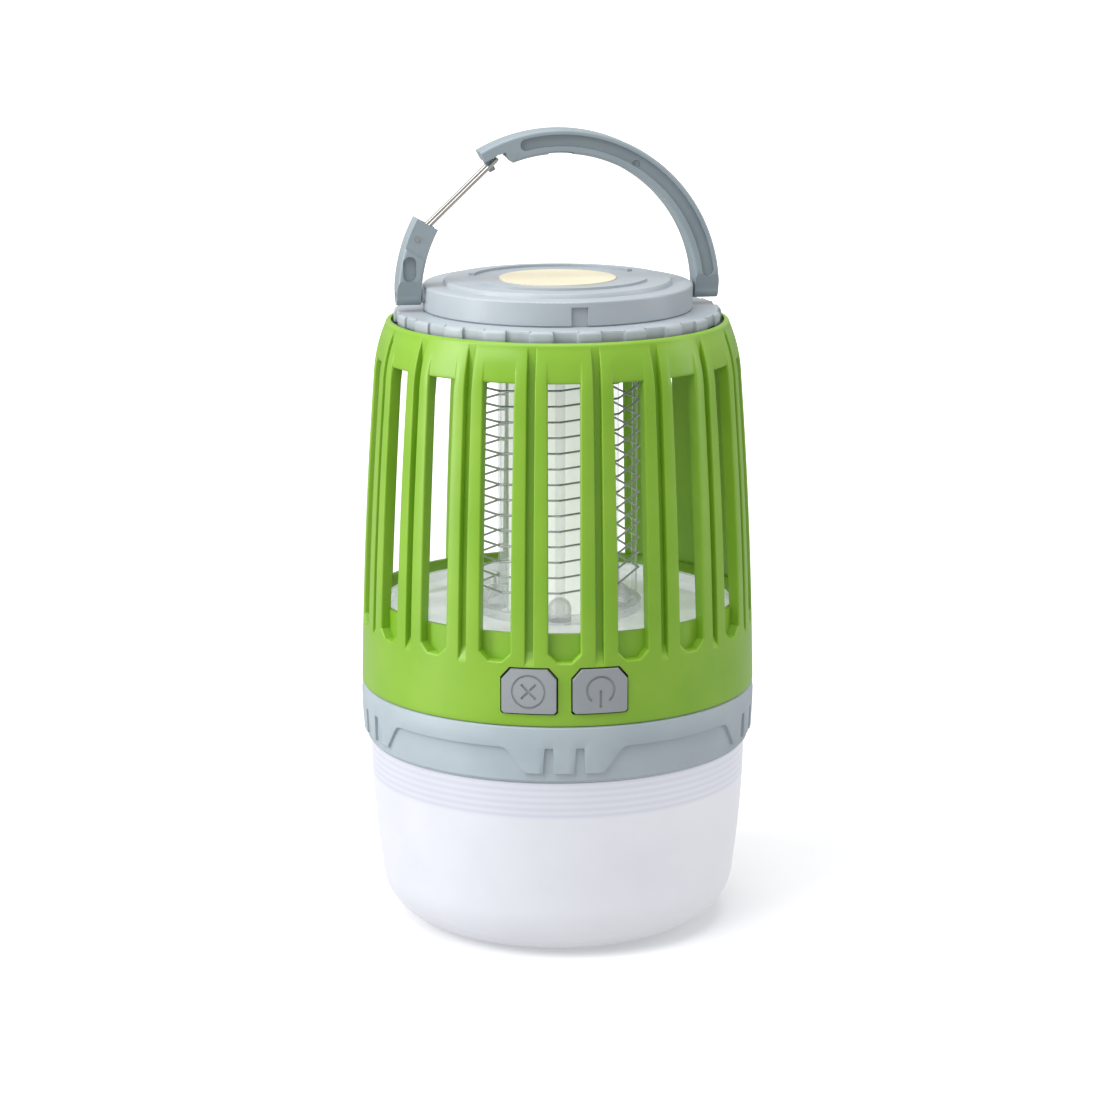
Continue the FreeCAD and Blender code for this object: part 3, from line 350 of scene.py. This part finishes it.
def window_foot(s):
    """Height of the window's lower edge, with its cut corners."""
    return WINDOW_FOOT + min(max(s - FOOT_HALF, 0.0), WINDOW_HALF - FOOT_HALF)


def rounding(distance, reach):
    """How far a quarter-round edge has dropped at a distance from its corner."""
    if distance >= reach:
        return 0.0
    return reach - math.sqrt(max(reach ** 2 - (reach - distance) ** 2, 0.0))


def window_distance(s, z):
    """Distance from a point on the wall to the window's outline."""
    corners = [(0.0, WINDOW_FOOT), (FOOT_HALF, WINDOW_FOOT), (WINDOW_HALF, window_foot(WINDOW_HALF)),
               (WINDOW_HALF, WINDOW_TOP), (0.0, WINDOW_TOP)]
    best = 99.0
    for (s0, z0), (s1, z1) in zip(corners, corners[1:]):
        run, rise = s1 - s0, z1 - z0
        t = ((s - s0) * run + (z - z0) * rise) / (run * run + rise * rise)
        t = min(max(t, 0.0), 1.0)
        best = min(best, math.hypot(s - s0 - t * run, z - z0 - t * rise))
    return best


def wall_depth(column, z):
    """How far the wall lies under its smooth outline: window edges, top panels and grooves."""
    if column < len(WINDOW_COLUMNS):
        s = WINDOW_COLUMNS[column]
        panel = 0.0
        if z >= WINDOW_TOP:
            fade = max(1.0 - (z - WINDOW_TOP) / 5.0, 0.0)
            panel = 0.32 * fade * min(max((3.85 - s) / 0.3, 0.0), 1.0)
        return panel + rounding(window_distance(s, z), EDGE_ROUND)
    if column == len(WINDOW_COLUMNS):
        return 0.0
    s = GROOVE_COLUMNS[column - len(WINDOW_COLUMNS) - 1]
    deep = groove_floor(z)
    return deep if s < GROOVE_HALF - 0.01 else min(deep, rounding(s - GROOVE_HALF, 0.3))


def column_angle(column, r):
    """Angle from the window's middle to a column at a radius."""
    if column < len(WINDOW_COLUMNS):
        return math.asin(WINDOW_COLUMNS[column] / r)
    if column == len(WINDOW_COLUMNS):
        return (math.asin(WINDOW_COLUMNS[-1] / r) + HALF_STEP - math.asin(GROOVE_COLUMNS[0] / r)) / 2
    return HALF_STEP - math.asin(GROOVE_COLUMNS[column - len(WINDOW_COLUMNS) - 1] / r)


def guard_rows():
    """The guard's cross-section as (height rule, surface) rows, up the outside and down the inside."""
    def level(z):
        return lambda s: z

    def toward(t, drop):
        return lambda s: WALL_START + t * (window_foot(s) - drop - WALL_START)

    low = [level(z) for z in (55.9, 55.95, 56.03, 56.2, 56.4, 57.2, 58.5, 60, 62, 64, 66, 67.5, 69.0)]
    low += [toward(t, EDGE_ROUND) for t in (0.12, 0.35, 0.6, 0.8, 1.0)]
    low += [toward(1.0, d) for d in (0.28, 0.15, 0.06)]
    heights = [72.6, 73.4, 75, 77] + list(range(80, 128, 4)) + [126, 128, 130, WINDOW_TOP]
    span = [toward(1.0, 0.0)] + [level(z) for z in sorted(set(heights))]
    high = [level(z) for z in (131.06, 131.15, 131.28, 131.45, 132.2, 133, 134, 135, 136, 137, 137.8, 138.6,
                               138.85, 139.1, 139.3, 139.42, 139.5)]
    rim = [(37.7, 139.5), (37.7, 138.0), (36.9, 138.0), (36.9, 131.8), (38.4, 131.2)]
    foot = [level(z) for z in (69.0, 66.0, 60.0, 55.9)]
    rows = [(rule, "out") for rule in low + span + high]
    rows += [(level(z), r) for r, z in rim]
    rows += [(rule, "in") for rule in span[::-1] + foot]
    return rows, len(low), len(low) + len(span) - 1, len(span)


def guard_shell():
    """The guard's wall as one closed mesh: windows, cut-cornered feet, grooves and soft edges."""
    rows, first, last, count = guard_rows()
    per_sector = 2 * (len(WINDOW_COLUMNS) + len(GROOVE_COLUMNS))
    half = per_sector // 2
    columns = []
    for k in range(SECTORS):
        for j in range(1 - half, half + 1):
            columns.append((2 * k * HALF_STEP, j))
    verts = []
    for rule, surface in rows:
        for middle, j in columns:
            a = abs(j)
            s = WINDOW_COLUMNS[a] if a < len(WINDOW_COLUMNS) else 9.0
            z = rule(s)
            if surface == "out":
                r = outer_radius(z) - wall_depth(a, z)
            elif surface == "in":
                r = inner_radius(z)
            else:
                r = surface
            angle = middle + math.copysign(column_angle(a, r), j)
            verts.append((r * math.sin(angle) * MM, -r * math.cos(angle) * MM, z * MM))
    around = len(columns)
    edge = WINDOW_COLUMNS.index(WINDOW_HALF)
    open_column = [abs(j) <= edge for middle, j in columns]
    glass = [open_column[c] and open_column[(c + 1) % around] for c in range(around)]
    inside_top = len(rows) - 4 - count
    inside_foot = len(rows) - 5
    faces = []

    def at(row, c):
        return row % len(rows) * around + c % around

    def quad(row_a, row_b, c):
        faces.append((at(row_a, c), at(row_a, c + 1), at(row_b, c + 1), at(row_b, c)))

    for row in range(len(rows)):
        through = first <= row < last or inside_top <= row < inside_foot
        for c in range(around):
            if not (through and glass[c]):
                quad(row, row + 1, c)
    for c in range(around):
        if glass[c]:
            quad(inside_foot, first, c)
            quad(last, inside_top, c)
    for step in range(count - 1):
        for c in range(around):
            if abs(columns[c][1]) == edge:
                up, down = first + step, inside_foot - step
                faces.append((at(up, c), at(up + 1, c), at(down - 1, c), at(down, c)))
    mesh = bpy.data.meshes.new("guard")
    mesh.from_pydata(verts, [], faces)
    tidy(mesh)
    return mesh


def tidy(mesh):
    """Drop unused points and turn every face outward."""
    work = bmesh.new()
    work.from_mesh(mesh)
    bmesh.ops.delete(work, geom=[v for v in work.verts if not v.link_faces], context="VERTS")
    bmesh.ops.recalc_face_normals(work, faces=work.faces)
    work.to_mesh(mesh)
    work.free()


def revolved(name, profile):
    """A closed ring mesh from a closed (radius, height) profile."""
    n = len(profile)
    verts = []
    for k in range(RING_STEPS):
        a = 2 * math.pi * k / RING_STEPS
        verts += [(r * math.sin(a) * MM, -r * math.cos(a) * MM, z * MM) for r, z in profile]
    faces = []
    for k in range(RING_STEPS):
        for i in range(n):
            here, there = k * n, (k + 1) % RING_STEPS * n
            faces.append((here + i, there + i, there + (i + 1) % n, here + (i + 1) % n))
    mesh = bpy.data.meshes.new(name)
    mesh.from_pydata(verts, [], faces)
    tidy(mesh)
    return mesh


def ridge_mesh(name, root, crest, pitch, turns, z_start, root_w, crest_w):
    """A helical thread ridge, right-hand, starting at +X."""
    buried = root + 0.3 * (1 if crest < root else -1)
    section = [(buried, -root_w / 2), (crest, -crest_w / 2), (crest, crest_w / 2), (buried, root_w / 2)]
    count = int(THREAD_STEPS * turns)
    verts = []
    for k in range(count + 1):
        a = 2 * math.pi * k / THREAD_STEPS
        z = z_start + pitch * k / THREAD_STEPS
        verts += [(r * math.cos(a) * MM, r * math.sin(a) * MM, (z + h) * MM) for r, h in section]
    faces = [(0, 1, 2, 3), tuple(count * 4 + i for i in (3, 2, 1, 0))]
    for k in range(count):
        for i in range(4):
            faces.append((k * 4 + i, k * 4 + (i + 1) % 4, k * 4 + 4 + (i + 1) % 4, k * 4 + 4 + i))
    mesh = bpy.data.meshes.new(name)
    mesh.from_pydata(verts, [], faces)
    tidy(mesh)
    return mesh


def cutter(name, outline, r_in, r_out, angle, curved=False):
    """A closed block cut radially into the wall: outline in (sideways, height), angle from the front."""
    turn = math.radians(angle)
    verts = []
    if curved:
        (s0, z0), (s1, z1) = outline
        across = [s0 + (s1 - s0) * i / 16 for i in range(17)]
        outline = [(s, z0) for s in across] + [(s, z1) for s in across[::-1]]
    for far in (False, True):
        for s, z in outline:
            depth = r_out if far else (math.sqrt(r_in ** 2 - s ** 2) if curved else r_in)
            x, y = s, -depth
            verts.append(((x * math.cos(turn) - y * math.sin(turn)) * MM,
                          (x * math.sin(turn) + y * math.cos(turn)) * MM, z * MM))
    n = len(outline)
    faces = [(i, (i + 1) % n, n + (i + 1) % n, n + i) for i in range(n)]
    if curved:
        m = n // 2
        faces += [(i, i + 1, n - 2 - i, n - 1 - i) for i in range(m - 1)]
        faces += [(n + i, n + i + 1, 2 * n - 2 - i, 2 * n - 1 - i) for i in range(m - 1)]
    else:
        faces += [tuple(range(n)), tuple(range(n, 2 * n))]
    mesh = bpy.data.meshes.new(name)
    mesh.from_pydata(verts, [], faces)
    tidy(mesh)
    return mesh


def key_outline(grow):
    """Front outline of a key: square foot, cut top corners."""
    w, low, top = 6.05 + grow, 59.0 - grow, 68.8 + grow
    return [(0.5 - w, low), (w - 0.5, low), (w, low + 0.5), (w, top - 2.3), (w - 2.0, top),
            (2.0 - w, top), (-w, top - 2.3), (-w, low + 0.5)]


def block_outline(half, low, top):
    """Front outline of a plain rectangle."""
    return [(-half, low), (half, low), (half, top), (-half, top)]


def placed(name, mesh, material=None):
    """A new object in the scene."""
    thing = bpy.data.objects.new(name, mesh)
    bpy.context.scene.collection.objects.link(thing)
    if material:
        mesh.materials.append(material)
    return thing


def carved(thing, cutters):
    """The object with each cutter taken out of it for good."""
    for tool in cutters:
        cut = thing.modifiers.new("cut", "BOOLEAN")
        cut.operation = "DIFFERENCE"
        cut.solver = "EXACT"
        cut.object = tool
    graph = bpy.context.evaluated_depsgraph_get()
    graph.update()
    mesh = bpy.data.meshes.new_from_object(thing.evaluated_get(graph))
    thing.modifiers.clear()
    thing.data = mesh
    for tool in cutters:
        bpy.data.objects.remove(tool)


def build_guard():
    """The whole green guard, with its inner lip and the cap's thread."""
    round_turn = [2 * math.pi * i / 24 for i in range(24)]
    light_hole = [(1.15 * math.cos(a), 65.0 + 1.15 * math.sin(a)) for a in round_turn]
    meshes = [
        cutter("pocket_left", key_outline(0.35), 41.0, 48.0, -10.0),
        cutter("pocket_right", key_outline(0.35), 41.0, 48.0, 10.0),
        cutter("port_hole", block_outline(5.2, 62.9, 67.5), 38.0, 48.0, 180.0),
        cutter("port_pocket", [(-7.8, 60.6), (7.8, 69.0)], 43.6, 48.0, 180.0, curved=True),
        cutter("barrel_pocket", block_outline(6.3, 59.2, 61.8), 42.9, 48.0, 180.0),
        cutter("light_hole", light_hole, 40.0, 48.0, 162.0),
    ]
    guard = placed("guard", guard_shell(), GREEN)
    carved(guard, [placed(mesh.name, mesh) for mesh in meshes])
    lip = placed("guard_lip", revolved("guard_lip", [
        (42.5, 69.5), (38.9, 69.5), (38.8, 69.6), (38.8, 70.9), (40.2, 70.9), (40.2, 74.5), (40.26, 74.75),
        (40.38, 74.95), (41.1, 75.95), (41.25, 76.12), (41.45, 76.2), (42.5, 76.2)]), GREEN)
    ridge = ridge_mesh("guard_thread", root=36.9, crest=35.9, pitch=2.5, turns=1.25, z_start=133.85,
                       root_w=1.25, crest_w=0.75)
    thread = placed("guard_thread", ridge, GREEN)
    for thing in (guard, lip, thread):
        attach(thing, "lantern_body")
        shade = thing.modifiers.new("shade", "NODES")
        shade.node_group = SMOOTH
    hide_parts("cage_lower_band", "cage_staves", "cage_top_band")


build_guard()


# ---- stage --------------------------------------------------------------------------------------
FLOOR_Z = -0.0002
FLOOR_HALF = 12.0
LIGHT_AIM = Vector((0.0, 0.0, 0.08))


def floor():
    """A large pale floor a hair under the lamp, whiter to the eye than the light it throws back."""
    mesh = bpy.data.meshes.new("floor")
    corners = [(-1, -1), (1, -1), (1, 1), (-1, 1)]
    mesh.from_pydata([(x * FLOOR_HALF, y * FLOOR_HALF, FLOOR_Z) for x, y in corners], [], [(0, 1, 2, 3)])
    thing = bpy.data.objects.new("floor", mesh)
    bpy.context.scene.collection.objects.link(thing)
    white = plastic("floor_white", srgb(246, 246, 247), srgb(248, 248, 249), 0.8, bump=0.0,
                    Emission_Color=(1, 1, 1, 1), Specular_IOR_Level=0.2)
    tree = white.node_tree
    shader = tree.nodes["Principled BSDF"]
    ray = tree.nodes.new("ShaderNodeLightPath")
    spot = tree.nodes.new("ShaderNodeTexCoord")
    away_from_lamp = tree.nodes.new("ShaderNodeVectorMath")
    away_from_lamp.operation = "LENGTH"
    far = node(tree, "ShaderNodeMapRange", From_Min=0.2, From_Max=1.0, To_Min=0.06, To_Max=0.75)
    glow = math_node(tree, "MULTIPLY")
    factor, felt, seen, result = colour_mix(tree)
    felt.default_value = (0.46, 0.46, 0.46, 1)
    link = tree.links.new
    link(spot.outputs["Object"], away_from_lamp.inputs[0])
    link(away_from_lamp.outputs["Value"], far.inputs["Value"])
    link(ray.outputs["Is Camera Ray"], glow.inputs[0])
    link(far.outputs["Result"], glow.inputs[1])
    link(ray.outputs["Is Camera Ray"], factor)
    link(shader.inputs["Base Color"].links[0].from_socket, seen)
    link(result, shader.inputs["Base Color"])
    link(glow.outputs["Value"], shader.inputs["Emission Strength"])
    mesh.materials.append(white)


def area_light(name, place, size, power):
    """A soft rectangular studio light."""
    data = bpy.data.lights.new(name, "AREA")
    data.shape = "RECTANGLE"
    data.size, data.size_y = size
    data.energy = power
    thing = bpy.data.objects.new(name, data)
    thing.location = place
    thing.rotation_euler = (LIGHT_AIM - Vector(place)).to_track_quat("-Z", "Y").to_euler()
    bpy.context.scene.collection.objects.link(thing)


def surroundings(seen, felt):
    """White all round: the camera sees it bright, the object is lit by it more softly."""
    world = bpy.data.worlds.new("studio")
    world.use_nodes = True
    tree = world.node_tree
    tree.nodes.clear()
    ray = tree.nodes.new("ShaderNodeLightPath")
    mix = tree.nodes.new("ShaderNodeMixShader")
    soft = node(tree, "ShaderNodeBackground", Color=(1, 1, 1, 1), Strength=felt)
    bright = node(tree, "ShaderNodeBackground", Color=(1, 1, 1, 1), Strength=seen)
    end = tree.nodes.new("ShaderNodeOutputWorld")
    tree.links.new(ray.outputs["Is Camera Ray"], mix.inputs["Fac"])
    tree.links.new(soft.outputs[0], mix.inputs[1])
    tree.links.new(bright.outputs[0], mix.inputs[2])
    tree.links.new(mix.outputs[0], end.inputs["Surface"])
    bpy.context.scene.world = world


floor()
surroundings(1.05, 0.60)
area_light("overhead", (-0.1, -0.15, 1.15), (1.0, 1.0), 8.3)
area_light("key", (-0.75, -0.75, 0.95), (0.7, 0.7), 4.8)
area_light("left_strip", (-0.88, -0.25, 0.35), (0.25, 0.9), 5.8)
area_light("right_strip", (0.92, 0.0, 0.35), (0.2, 0.9), 1.8)
bpy.context.scene.view_settings.view_transform = "Standard"
